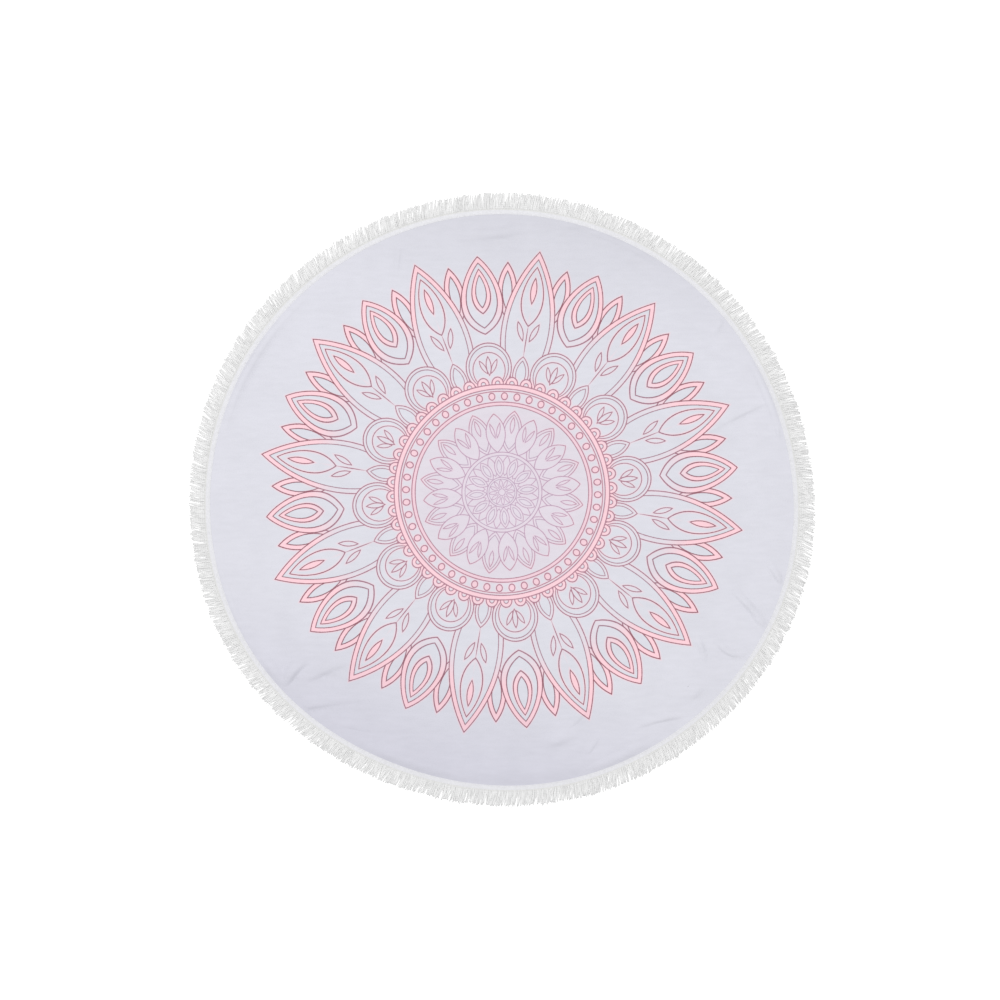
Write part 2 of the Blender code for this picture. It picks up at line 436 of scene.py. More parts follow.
# Each row is a layer, from the outermost and lowest to the innermost and highest. count: how many
# stand round the middle. turn: degrees. middle: how far out the shape's own middle lies. aside,
# tilt: a pair splayed on both sides of that line, with its distance and degrees. reach and spread:
# half its length and half its width. taper: above 0, slimmer outwards. line, gap, inner: widths of
# its line, of the band inside that and of the line inside the band.
designColumns = (
    "kind", "count", "turn", "middle", "aside", "tilt", "reach", "spread", "taper", "line", "gap",
    "inner")
designRows = (
    ("petal", 24, 7.5, 0.49, 0.0, 0.0, 0.07, 0.024, 0.0, 0.0026, 0.0085, 0.0024),
    ("petal", 12, 0.0, 0.48, 0.0, 0.0, 0.096, 0.05, 0.3, 0.0026, 0.0095, 0.0024),
    ("petal", 12, 0.0, 0.49, 0.0, 0.0, 0.056, 0.023, 0.3, 0.0024, 0.007, 0.0022),
    ("petal", 12, 15.0, 0.408, 0.0, 0.0, 0.184, 0.064, 0.1, 0.0024, 0.009, 0.002),
    ("petal", 12, 15.0, 0.48, 0.0, 0.0, 0.074, 0.027, 0.2, 0.0024, 0.0, 0.0),
    ("petal", 12, 15.0, 0.494, 0.0, 0.0, 0.034, 0.008, 0.0, 0.0022, 0.02, 0.0),
    ("petal", 12, 15.0, 0.393, 0.017, 22.0, 0.026, 0.007, 0.0, 0.0022, 0.0, 0.0),
    ("petal", 12, 15.0, 0.372, 0.0, 0.0, 0.04, 0.0012, 0.0, 0.003, 0.0, 0.0),
    ("lobe", 12, 0.0, 0.305, 0.0, 0.0, 0.06, 0.056, 0.0, 0.0024, 0.0048, 0.002),
    ("lobe", 12, 0.0, 0.298, 0.0, 0.0, 0.044, 0.04, 0.0, 0.002, 0.0, 0.0),
    ("petal", 12, 0.0, 0.306, 0.013, 28.0, 0.02, 0.0058, 0.0, 0.002, 0.0, 0.0),
    ("petal", 12, 0.0, 0.308, 0.0, 0.0, 0.025, 0.007, 0.0, 0.0022, 0.0, 0.0),
    ("petal", 12, 15.0, 0.29, 0.0, 0.0, 0.044, 0.02, 0.0, 0.0022, 0.005, 0.0018),
    ("lobe", 48, 3.75, 0.264, 0.0, 0.0, 0.017, 0.015, 0.0, 0.0024, 0.006, 0.002),
    ("ring", 1, 0.0, 0.0, 0.0, 0.0, 0.263, 0.263, 0.0, 0.0026, 0.0085, 0.0024),
    ("ring", 1, 0.0, 0.0, 0.0, 0.0, 0.246, 0.246, 0.0, 0.0022, 0.0, 0.0),
    ("lobe", 48, 0.0, 0.233, 0.0, 0.0, 0.0098, 0.0084, 0.0, 0.0024, 0.02, 0.0),
    ("ring", 1, 0.0, 0.0, 0.0, 0.0, 0.22, 0.22, 0.0, 0.0024, 0.006, 0.0022),
    ("petal", 12, 15.0, 0.148, 0.0, 0.0, 0.052, 0.025, 0.0, 0.0018, 0.0045, 0.0016),
    ("petal", 12, 15.0, 0.164, 0.0, 0.0, 0.021, 0.006, 0.0, 0.0016, 0.0, 0.0),
    ("petal", 12, 0.0, 0.144, 0.0, 0.0, 0.048, 0.024, 0.0, 0.0018, 0.0, 0.0),
    ("petal", 12, 0.0, 0.15, 0.0072, 16.0, 0.02, 0.0045, 0.0, 0.0016, 0.0, 0.0),
    ("ring", 1, 0.0, 0.0, 0.0, 0.0, 0.098, 0.098, 0.0, 0.0018, 0.006, 0.0016),
    ("petal", 12, 15.0, 0.065, 0.0, 0.0, 0.025, 0.01, 0.0, 0.0016, 0.0, 0.0),
    ("petal", 12, 0.0, 0.062, 0.0, 0.0, 0.026, 0.012, 0.0, 0.0016, 0.004, 0.0014),
    ("ring", 1, 0.0, 0.0, 0.0, 0.0, 0.037, 0.037, 0.0, 0.0018, 0.003, 0.0014),
    ("petal", 12, 0.0, 0.021, 0.0, 0.0, 0.011, 0.0042, 0.0, 0.0014, 0.0, 0.0),
    ("ring", 1, 0.0, 0.0, 0.0, 0.0, 0.009, 0.009, 0.0, 0.0016, 0.02, 0.0),
)


def petalSizes(reach, spread):
    # a petal's two sides are arcs of one radius
    arc = (reach**2 + spread**2) / (2.0 * spread)
    return arc, arc - spread


def foldGroup():
    # turns a point round the middle into the one sector that is drawn, mirrored at its axis
    group, given, out = newGroup(
        "sectorFold", ("Radius", "Angle", "Turn", "Half Sector"), ("Out", "Side"))
    turned = maths(group, "ADD", given["Angle"], given["Turn"])
    folded = maths(group, "PINGPONG", turned, given["Half Sector"])
    radius = given["Radius"]
    feed(group, out["Out"], maths(group, "MULTIPLY", radius, maths(group, "COSINE", folded)))
    feed(group, out["Side"], maths(group, "MULTIPLY", radius, maths(group, "SINE", folded)))
    return group


def shapeGroup():
    # distance from a petal's, lobe's or ring's outline, negative inside it
    group, given, out = newGroup(
        "printedShape",
        ("Out", "Side", "Middle", "Aside", "Tilt Cosine", "Tilt Sine", "Stretch", "Taper", "Arc",
         "Arc Inset"),
        ("Distance",),
    )
    outward = maths(group, "SUBTRACT", given["Out"], given["Middle"])
    aside = maths(group, "SUBTRACT", given["Side"], given["Aside"])
    cosine, sine = given["Tilt Cosine"], given["Tilt Sine"]
    along = maths(group, "MULTIPLY_ADD", outward, cosine, maths(group, "MULTIPLY", aside, sine))
    along = maths(group, "MULTIPLY", along, given["Stretch"])
    across = maths(group, "SUBTRACT", maths(group, "MULTIPLY", aside, cosine),
                   maths(group, "MULTIPLY", outward, sine))
    slim = maths(group, "MULTIPLY_ADD", along, given["Taper"], 1.0)
    side = maths(group, "MULTIPLY_ADD", maths(group, "ABSOLUTE", across), slim, given["Arc Inset"])
    squared = maths(group, "MULTIPLY_ADD", side, side, maths(group, "MULTIPLY", along, along))
    reach = maths(group, "SQRT", squared)
    feed(group, out["Distance"], maths(group, "SUBTRACT", reach, given["Arc"]))
    return group


def inkGroup():
    # draws one layer over those below it: a line, a band inside it and a second line
    group, given, out = newGroup(
        "inkLayer",
        ("Distance", "Line", "Gap", "Inner", "Under Line", "Under Band", "Under Soak"),
        ("Line", "Band", "Soak"),
    )
    edge = printing["edge"]
    depth = given["Distance"]
    steps = [ease(group, depth, -edge, edge, 1.0, 0.0)]
    for width in ("Line", "Gap", "Inner"):
        depth = maths(group, "ADD", depth, given[width])
        steps.append(ease(group, depth, -edge, edge, 1.0, 0.0))
    clear = maths(group, "SUBTRACT", 1.0, steps[0])
    outer = maths(group, "SUBTRACT", steps[0], steps[1])
    lines = maths(group, "ADD", outer, maths(group, "SUBTRACT", steps[2], steps[3]))
    band = maths(group, "SUBTRACT", steps[1], steps[2])
    feed(group, out["Line"], maths(group, "MULTIPLY_ADD", given["Under Line"], clear, lines))
    feed(group, out["Band"], maths(group, "MULTIPLY_ADD", given["Under Band"], clear, band))
    middle = maths(group, "MULTIPLY_ADD", given["Line"], 0.5, given["Distance"])
    soak = ease(group, maths(group, "ABSOLUTE", middle), 0.0, printing["soak"], 1.0, 0.0)
    below = maths(group, "MULTIPLY", given["Under Soak"], clear)
    feed(group, out["Soak"], maths(group, "MAXIMUM", below, soak))
    return group


def printMasks(tree, across, up):
    # the whole design, as masks for its lines, its bands and the ink soaked in beside the lines
    fold, shape, ink = foldGroup(), shapeGroup(), inkGroup()
    squared = maths(tree, "MULTIPLY_ADD", across, across, maths(tree, "MULTIPLY", up, up))
    radius = maths(tree, "SQRT", squared)
    angle = maths(tree, "ARCTAN2", up, across)
    lines, bands, soak = 0.0, 0.0, 0.0
    for row in designRows:
        layer = dict(zip(designColumns, row, strict=True))
        reach, spread = layer["reach"], layer["spread"]
        tilt = math.radians(layer["tilt"])
        isPetal = layer["kind"] == "petal"
        arc, arcInset = petalSizes(reach, spread) if isPetal else (spread, 0.0)
        folded = useGroup(tree, fold, {
            "Radius": radius,
            "Angle": angle,
            "Turn": math.radians(layer["turn"] - printing["turn"]),
            "Half Sector": math.pi / layer["count"],
        })
        shaped = useGroup(tree, shape, {
            "Out": folded["Out"],
            "Side": folded["Side"],
            "Middle": layer["middle"],
            "Aside": layer["aside"],
            "Tilt Cosine": math.cos(tilt),
            "Tilt Sine": math.sin(tilt),
            "Stretch": 1.0 if isPetal else spread / reach,
            "Taper": layer["taper"] / reach,
            "Arc": arc,
            "Arc Inset": arcInset,
        })
        inked = useGroup(tree, ink, {
            "Distance": shaped["Distance"],
            "Line": layer["line"],
            "Gap": layer["gap"],
            "Inner": layer["inner"],
            "Under Line": lines,
            "Under Band": bands,
            "Under Soak": soak,
        })
        lines, bands, soak = (inked[name] for name in ("Line", "Band", "Soak"))
    return radius, lines, bands, soak


def ramp(tree, value, stops):
    # colours or strengths that change with a distance in metres, up to one metre
    node = tree.nodes.new("ShaderNodeValToRGB")
    feed(tree, node.inputs[0], value)
    points = node.color_ramp.elements
    while len(points) < len(stops):
        points.new(1.0)
    for point, (place, given) in zip(points, stops, strict=True):
        point.position = place
        point.color = given if isinstance(given, tuple) else (given, given, given, 1.0)
    return node.outputs[0]


terry = {
    "colour": srgb(213, 213, 221.5),
    "back": srgb(217, 217, 224),
    "shade": 0.052,        # how much the nap's brightness varies
    "shadeSpan": (0.9, 2.1),   # and the span of its noise over which it does
    "mottle": (9.0, 3.0, 0.55),   # broad soft patches: scale, detail, roughness
    "rows": (24.0, 95.0, 24.0),   # faint rows along the cloth's width: scale on each axis
    "fibres": (650.0, 2.0, 0.6),
    "loops": 620.0,
    "loopDepth": 0.6,
    # painted shade: the cloth is darker towards two sides, where light falls off: degrees,
    # distances out, share, shade
    "paintedSideShade": (
        (254.0, 0.38, 0.64, 0.190, srgb(149, 145, 172)),
        (80.0, 0.45, 0.70, 0.170, srgb(149, 149, 156)),
    ),
    "bump": (0.7, 0.00045),   # strength and height of the pile
    "roughness": 0.95,
    "specular": 0.15,
    "sheen": 0.12,
    "sheenRoughness": 0.6,
}

trim = {
    "tape": srgb(228, 228, 232),
    "headingYarn": srgb(223, 223, 221),
    "heading": 0.0096,     # where the fringe's own heading starts, from the cloth's edge
    "headingBlur": 0.0004,
    "weave": (0.0011, 0.0014),   # pitch of the tape's ribs and picks
    "fuzz": (900.0, 2.0, 0.6),   # scale, detail, roughness
    "patches": (160.0, 2.0, 0.6),
    "patchShare": 1.2,     # how much the patches and the weave count in the tape's brightness
    "weaveShare": 0.25,
    "fuzzShare": 0.5,      # how much the fuzz counts in its bump
    "patchShift": 0.0016,  # how far the patches shift the heading's edge
    "tapeShade": (0.6, 1.6, 0.90, 1.06),
    "tapeBump": (0.6, 0.0002),   # strength and height
    "yarn": srgb(240, 240, 240),
    "twist": 0.0045,       # length of a turn of a yarn's two strands
    "twistShade": 0.02,
    "darkest": 0.92,       # the darkest yarn against the lightest
    "paintedRootShade": (0.004, 0.020, 0.93, 1.0),    # painted shade where the yarns come out from under the tape: from, to in metres along a yarn, shade there
    # painted shade, darker towards the yarns' cut ends: from, to in metres along a yarn, shade
    # there
    "paintedTipShade": (0.020, 0.030, 1.0, 0.978),
    "yarnBump": (0.5, 0.0003),
    "roughness": 0.85,
    "specular": 0.2,
}


def terryMaterial():
    material, tree, surface = newMaterial("printedTerry")
    place = ownPlace(tree)
    onCloth = axesOf(tree, place)

    # the pile wanders a little, so that printed edges aren't sharp
    drift = tree.nodes.new("ShaderNodeTexNoise")
    feed(tree, drift.inputs["Vector"], place)
    drift.inputs["Scale"].default_value, drift.inputs["Detail"].default_value = printing["drift"]
    shift = tree.nodes.new("ShaderNodeSeparateColor")
    feed(tree, shift.inputs[0], drift.outputs["Color"])
    onPrint = []
    for axis in (0, 1):
        reach = printing["driftReach"]
        start = -0.5 * reach - printing["middle"][axis]
        stray = maths(tree, "MULTIPLY_ADD", shift.outputs[axis], reach, start)
        onPrint.append(maths(tree, "ADD", onCloth[axis], stray))
    radius, lines, bands, soak = printMasks(tree, *onPrint)

    # nap: broad soft mottling, and faint rows along the cloth's width
    broad = grain(tree, place, *terry["mottle"])
    rows = grain(tree, place, 1.0, stretch=terry["rows"])
    fibres = grain(tree, place, *terry["fibres"])
    mottle = maths(tree, "ADD", maths(tree, "ADD", broad, rows), fibres)
    shade = terry["shade"]
    bright = ease(tree, mottle, *terry["shadeSpan"], 1.0 - shade, 1.0 + shade)

    # the print is on the upper side only
    facing = tree.nodes.new("ShaderNodeNewGeometry").outputs["Normal"]
    above = maths(tree, "GREATER_THAN", axesOf(tree, facing)[2], 0.0)

    wear = ease(tree, fibres, *printing["wear"], 1.0)
    bandColour = ramp(tree, radius, printing["bandColours"])
    soaked = maths(tree, "MULTIPLY", soak, ramp(tree, radius, printing["soaked"]))
    filled = maths(tree, "MULTIPLY", bands, ramp(tree, radius, printing["filled"]))
    share = maths(tree, "MAXIMUM", maths(tree, "MAXIMUM", soaked, filled),
                  ramp(tree, radius, printing["tinted"]))
    colour = mixColours(tree, share, terry["colour"], bandColour)
    colour = mixColours(tree, maths(tree, "MULTIPLY", lines, wear), colour,
                        ramp(tree, radius, printing["lineColours"]))
    # painted shade: the cloth's colour darkens towards two sides
    for side, near, far, most, dark in terry["paintedSideShade"]:
        turned = math.radians(side)
        reach = maths(tree, "MULTIPLY", onCloth[0], math.cos(turned))
        reach = maths(tree, "MULTIPLY_ADD", onCloth[1], math.sin(turned), reach)
        colour = mixColours(tree, ease(tree, reach, near, far, 0.0, most), colour, dark)
    colour = mixColours(tree, above, terry["back"], colour)

    # short loops of pile
    loops = tree.nodes.new("ShaderNodeTexVoronoi")
    feed(tree, loops.inputs["Vector"], place)
    loops.inputs["Scale"].default_value = terry["loops"]
    deep = maths(tree, "MULTIPLY", loops.outputs["Distance"], terry["loopDepth"])
    addBump(tree, surface, maths(tree, "SUBTRACT", fibres, deep), *terry["bump"])
    paint(tree, surface, shaded(tree, colour, bright), terry)
    give(tree, surface, {"Sheen Weight": terry["sheen"],
                         "Sheen Roughness": terry["sheenRoughness"]})
    return material


def ownCoordinates(tree, name):
    node = tree.nodes.new("ShaderNodeUVMap")
    node.uv_map = name
    return axesOf(tree, node.outputs[0])[:2]


def tapeMaterial():
    material, tree, surface = newMaterial("wovenTape")
    woven = ownCoordinates(tree, "weave")   # metres along and across the tape
    ribs, picks = (
        maths(tree, "SINE", maths(tree, "MULTIPLY", metres, 2.0 * math.pi / pitch))
        for metres, pitch in zip(woven, trim["weave"], strict=True)
    )
    weave = maths(tree, "MULTIPLY", ribs, picks)
    place = ownPlace(tree)
    fuzz = grain(tree, place, *trim["fuzz"])
    patches = grain(tree, place, *trim["patches"])
    mixed = maths(tree, "MULTIPLY_ADD", patches, trim["patchShare"], fuzz)
    mixed = maths(tree, "MULTIPLY_ADD", weave, trim["weaveShare"], mixed)
    shade = ease(tree, mixed, *trim["tapeShade"])
    centred = maths(tree, "SUBTRACT", woven[1], 0.5 * trim["patchShift"])
    wander = maths(tree, "MULTIPLY_ADD", patches, trim["patchShift"], centred)
    start, blur = trim["heading"], trim["headingBlur"]
    heading = ease(tree, wander, start - blur, start + blur)
    colour = mixColours(tree, heading, trim["tape"], trim["headingYarn"])
    uneven = maths(tree, "MULTIPLY_ADD", fuzz, trim["fuzzShare"], weave)
    addBump(tree, surface, uneven, *trim["tapeBump"])
    paint(tree, surface, shaded(tree, colour, shade), trim)
    return material


def yarnMaterial(name):
    material, tree, surface = newMaterial(name)
    around, along = ownCoordinates(tree, "yarn")   # turns round a yarn plus its number, and metres
    number = maths(tree, "FLOOR", around)
    chance = tree.nodes.new("ShaderNodeTexWhiteNoise")
    chance.noise_dimensions = "1D"
    feed(tree, chance.inputs["W"], number)
    twoStrands = maths(tree, "MULTIPLY", around, 2.0)
    strands = maths(tree, "MULTIPLY_ADD", along, 1.0 / trim["twist"], twoStrands)
    twist = maths(tree, "SINE", maths(tree, "MULTIPLY", strands, 2.0 * math.pi))
    bright = ease(tree, chance.outputs["Value"], 0.0, 1.0, trim["darkest"], 1.0)
    bright = maths(tree, "MULTIPLY_ADD", twist, trim["twistShade"], bright)
    # painted shade: darker at the yarns' roots by the tape and towards their cut ends
    for span in (trim["paintedRootShade"], trim["paintedTipShade"]):
        bright = maths(tree, "MULTIPLY", bright, ease(tree, along, *span))
    addBump(tree, surface, twist, *trim["yarnBump"])
    paint(tree, surface, shaded(tree, trim["yarn"][:3], bright), trim)
    return material


def easedDisc(across, up):
    # points of a square from -1 to 1, eased into a disc of radius 1
    wide = np.abs(across) > np.abs(up)
    safeAcross = np.where(across == 0.0, 1.0, across)
    safeUp = np.where(up == 0.0, 1.0, up)
    angle = np.where(wide, 0.25 * math.pi * up / safeAcross,
                     0.5 * math.pi - 0.25 * math.pi * across / safeUp)
    radius = np.where(wide, across, up)
    return radius * np.cos(angle), radius * np.sin(angle)


def onPlan(places):
    # where points of the flat square lie on the floor, the outermost cells squeezed into the rim
    across, up = places[:, 0], places[:, 1]
    out = np.maximum(np.abs(across), np.abs(up))
    near = 1.0 - 2.0 / cloth["cells"]
    squeezed = np.interp(out, (0.0, near, 1.0), (0.0, cloth["rim"], 1.0))
    share = squeezed / np.maximum(out, 0.0001)   # the middle point stays where it is
    x, y = easedDisc(across * share, up * share)
    radius = edgeRadius(np.arctan2(y, x))
    return x * radius, y * radius


def halveUnderFolds(piece):
    # finer cells wherever a fold lifts the cloth
    onlySelect(piece)
    bpy.ops.object.mode_set(mode="EDIT")
    bpy.ops.mesh.select_mode(type="FACE")
    bpy.ops.mesh.select_all(action="DESELECT")
    bpy.ops.object.mode_set(mode="OBJECT")
    polygons = piece.data.polygons
    lifted = foldLift(*onPlan(readRows(polygons, "center"))) > cloth["foldShown"]
    polygons.foreach_set("select", lifted)
    bpy.ops.object.mode_set(mode="EDIT")
    bpy.ops.mesh.subdivide(number_cuts=1)
    bpy.ops.object.mode_set(mode="OBJECT")


def makeCloth():
    piece = gridPiece("towelPanel", cloth["cells"], cloth["cells"], 2.0)
    for _ in range(cloth["halvings"]):
        halveUnderFolds(piece)
    x, y = onPlan(readRows(piece.data.vertices, "co"))
    lift = clothLift(x, y)
    piece.data.vertices.foreach_set("co", np.stack([x, y, lift], axis=1).ravel())
    piece.data.update()
    wall = piece.modifiers.new("wall", "SOLIDIFY")
    wall.thickness = cloth["thickness"]
    wall.offset = 1.0
    applyModifiers(piece)
    piece.data.shade_smooth()

    # one map for baking: the upper side over most of it, the underside small in a corner
    mesh = piece.data
    places = readRows(mesh.vertices, "co")[readCounts(mesh.loops, "vertex_index")]
    rises = readRows(mesh.polygons, "normal")[:, 2]
    upper = np.repeat(rises, readCounts(mesh.polygons, "loop_total")) > cloth["upperSlope"]
    span = 2.0 * np.abs(places[:, :2]).max() * cloth["mapMargin"]
    flat = places[:, :2] / span
    backSize, backPlace = cloth["backMap"]
    mapped = np.where(upper[:, None], flat + 0.5, flat * backSize + backPlace)
    setUvs(piece, {"OFBake": mapped})
    return piece


towel = makeCloth()
takeFinish(towel, terryMaterial(), "terry", "cloth")
print("cloth panel made,", len(towel.data.polygons), "faces")

tape = {
    "steps": 1080,         # round the edge
    "ripple": 0.00018,     # height of the waves that the stitching leaves
    "ripples": ((331.0, 0.0), (217.0, 1.3)),   # how many round the edge, phase
    "rippleFrom": 0.0010,  # only what lies higher than this is rippled
    "profile": (           # distance out from the cloth's edge and height, round the section
        (-0.0009, 0.00204), (-0.0002, 0.00204), (0.0012, 0.00110), (0.0030, 0.00012),
        (0.0080, 0.00005), (0.0146, 0.00010), (0.0152, 0.00060), (0.0146, 0.00120),
        (0.0126, 0.00176), (0.0106, 0.00210), (0.0060, 0.00220), (0.0016, 0.00230),
        (0.0004, 0.00242), (-0.0004, 0.00246), (-0.0010, 0.00236), (-0.0012, 0.00216),
    ),
    "lap": 0.0090,         # the cloth's folds lift the tape over this much of its width
    "strips": 24,          # pieces that it is cut into to lie flat in the map for baking
    "mapMargins": (0.005, 0.04),   # round each strip, along it and across it
    "weld": 0.00001,       # points closer than this are merged
}


def tapeLift(angles, out):
    # how far the cloth's folds lift the tape
    radius = edgeRadius(angles) + np.minimum(out, 0.0)
    lift = foldLift(radius * np.cos(angles), radius * np.sin(angles))
    return lift * smooth(1.0 - np.maximum(out, 0.0) / tape["lap"])


def makeTape():
    # a long grid, rolled lengthwise into the tape's section and bent round the cloth
    profile = np.array(tape["profile"])
    rings, sides = tape["steps"], len(profile)
    piece = gridPiece("headingTape", rings, sides, 1.0)
    mesh = piece.data
    places = readRows(mesh.vertices, "co")
    ring = np.rint((places[:, 0] + 0.5) * rings)
    side = np.rint((places[:, 1] + 0.5) * sides).astype(int)
    angles = ring * 2.0 * math.pi / rings
    out, height = profile[side % sides, 0], profile[side % sides, 1]
    edge = edgeRadius(angles)
    x, y = (edge + out) * np.cos(angles), (edge + out) * np.sin(angles)
    height = height + tapeLift(angles, out)
    wave = sum(np.sin(angles * count + phase) * 0.5 for count, phase in tape["ripples"])
    height = height + tape["ripple"] * wave * (height > tape["rippleFrom"])
    mesh.vertices.foreach_set("co", np.stack([x, y, height], axis=1).ravel())

    # metres along and across the tape for its weave, and strips for baking
    indices = readCounts(mesh.loops, "vertex_index")
    loopRing, loopSide = ring[indices], side[indices]
    lowRing = np.repeat(loopRing.reshape(-1, 4).min(axis=1), 4)
    perStrip = rings / tape["strips"]
    strip = np.floor(lowRing / perStrip)
    along = (loopRing - strip * perStrip) / perStrip
    endRoom, sideRoom = tape["mapMargins"]
    row = (strip + sideRoom + (1.0 - 2.0 * sideRoom) * loopSide / sides) / tape["strips"]
    column = endRoom + along * (1.0 - 2.0 * endRoom)
    metres = loopRing * 2.0 * math.pi * outline["clothRadius"] / rings
    setUvs(piece, {
        "weave": np.stack([metres, profile[loopSide.astype(int) % sides, 0]], axis=1),
        "OFBake": np.stack([column, row], axis=1),
    })
    mesh.update()
    closeSeams(piece, tape["weld"])
    piece.data.shade_smooth()
    return piece


headingTape = makeTape()
takeFinish(headingTape, tapeMaterial(), "trim", "fringe")
print("heading tape made")

sewing = {
    "length": 0.0030,
    "pitch": 0.0037,
    "thickness": 0.00025,
    "rows": ((0.0012, 0.00246), (0.0102, 0.00204)),   # distance out from the cloth's edge, height
    "stations": (          # along a stitch: share of its length, height in threads
        (-0.5, -0.6), (-0.28, 0.55), (0.28, 0.55), (0.5, -0.6),
    ),
    "weld": 0.000001,
    "colour": srgb(236, 235, 240),
    "fuzz": 1400.0,
    "shade": (0.3, 0.7, 0.90, 1.0),
    "roughness": 0.6,
    "specular": 0.5,
}


def makeSewing():
    # each stitch is a short bent thread whose ends dip into the cloth
    stations = sewing["stations"]
    corners = ((1.0, 0.0), (0.0, 1.0), (-1.0, 0.0), (0.0, -1.0))
    sides = len(corners)
    vertices, faces = [], []
    for out, height in sewing["rows"]:
        around = 2.0 * math.pi * (outline["clothRadius"] + out)
        count = int(around / sewing["pitch"])
        for index in range(count):
            angle = 2.0 * math.pi * index / count
            radius = float(edgeRadius(angle)) + out
            centre = Vector((radius * math.cos(angle), radius * math.sin(angle), height))
            centre.z += tapeLift(np.array([angle]), np.array([out]))[0]
            outward = Vector((math.cos(angle), math.sin(angle), 0.0))
            ahead = Vector((-outward.y, outward.x, 0.0))
            base = len(vertices)
            for share, rise in stations:
                middle = centre + ahead * share * sewing["length"]
                middle.z += rise * sewing["thickness"]
                for side, top in corners:
                    vertices.append(middle + outward * side * sewing["thickness"]
                                    + Vector((0.0, 0.0, top * sewing["thickness"])))
            for step in range(len(stations) - 1):
                low = base + step * sides
                high = low + sides
                for corner in range(sides):
                    after = (corner + 1) % sides
                    faces.append((low + corner, high + corner, high + after, low + after))
            last = len(vertices) - 1
            faces.append(tuple(base + corner for corner in range(sides)))
            faces.append(tuple(last - corner for corner in range(sides)))
    piece = pieceFrom("stitches", vertices, faces)
    closeSeams(piece, sewing["weld"])
    piece.data.shade_smooth()
    return piece


def threadMaterial():
    material, tree, surface = newMaterial("sewingThread")
    place = ownPlace(tree)
    shade = ease(tree, grain(tree, place, sewing["fuzz"]), *sewing["shade"])
    paint(tree, surface, shaded(tree, sewing["colour"][:3], shade), sewing)
    return material


stitches = makeSewing()
takeFinish(stitches, threadMaterial(), "trim", "fringe")
print("stitches made,", len(stitches.data.polygons), "faces")

fringe = {
    # the solids' own locks
    "locks": 240,
    "lockShare": 0.82,     # of each lock's pitch; the rest is the gap beside it
    "pitchSpread": 0.30,
    "reach": 0.0356,       # beyond the tape
    "reachSpread": 0.0035,
    "leanSpread": 0.0022,  # how far a lock's tip leans to either side
    "tipSpread": 0.12,     # of a tip's width
    "seed": 11,
    # the yarns in them
    "evenness": 0.42,      # how much of the locks' unevenness the yarns take over
    "longSide": (0.0011, 34.0),   # cut this much longer on this side, in degrees
    "tipWidth": 1.03,      # a lock's width at its tip against that at its root, gap and all
    "yarnPitch": 0.0034,   # between neighbours of one layer, at the tape
    "placeSpread": (0.1, 0.5),   # where in its pitch a yarn is rooted
    "layers": 2,
    "yarnSides": 6,
    "yarnRadius": (0.00132, 0.00118),    # of the upper and the lower layer
    "radiusSpread": 0.12,
    "shorter": (0.0, 0.0004),   # how much shorter each layer is cut
    "rootInset": 0.0030,   # the yarns start this far inside the tape's outer edge
    "rootHeight": 0.0009,
    "wispYarns": 3,        # yarns of one layer that lean together
    "wispStray": 0.0015,   # how far a wisp's tip strays from its place in the lock
    "wispUneven": 0.25,    # how much of the cut lengths' difference a wisp's yarns share
    "clump": 0.12,         # how far at most a wisp's tips draw together
    "yarnStray": 0.0018,   # how far a yarn's tip strays from its place in the wisp
    "slant": 0.0068,       # how far all the tips lie clockwise of straight out
    "slantSpread": 0.45,   # how much that differs round the edge
    "slantCrest": 145.0,   # degrees at which it is greatest, as on the far side
    "straightening": 0.7,  # how much a yarn's sideways bend eases towards its tip
    "curl": (0.0008, 5.0),   # sideways, and radians of its wave along a yarn
    "uneven": 0.0017,      # how much the cut lengths differ
    "longest": 0.0045,     # and the most by which a yarn may outrun its lock
    "pile": 0.0014,        # height of the upper layer over the lower one
    "pileSpread": 0.0009,
    "rise": 0.35,          # share of its length in which a yarn reaches that height
    "droop": 0.3,          # and the share of the height that it loses by its tip
    "wobble": (0.0002, 9.0),   # up and down, and radians of its wave
    "clearance": 1.10,     # lowest height of a yarn's middle, in its radii
    "mapMargin": 0.08,     # round each yarn in the map for baking
    "pieces": 4,
}

# rings along a yarn: share of its length, and thickness there
yarnRows = (
    (0.0, 0.5), (0.09, 0.9), (0.25, 1.1), (0.48, 1.03), (0.70, 0.98), (0.88, 0.94), (1.0, 0.74),
)


def lockRows():
    # the same locks as the solids have: start, end and next start in radians, reach, lean, flare
    chance = random.Random(fringe["seed"])
    spread = fringe["pitchSpread"]
    pitches = [chance.uniform(1.0 - spread, 1.0 + spread) for _ in range(fringe["locks"])]
    turn = 2.0 * math.pi / sum(pitches)
    chance = random.Random(fringe["seed"])
    rows = []
    start = 0.0
    for pitch in pitches:
        reach = fringe["reach"] + chance.uniform(-fringe["reachSpread"], fringe["reachSpread"])
        lean = chance.uniform(-fringe["leanSpread"], fringe["leanSpread"])
        flare = 1.0 + chance.uniform(-fringe["tipSpread"], fringe["tipSpread"])
        rows.append((start, start + pitch * turn * fringe["lockShare"], start + pitch * turn,
                     reach, lean, flare))
        start += pitch * turn
    return rows


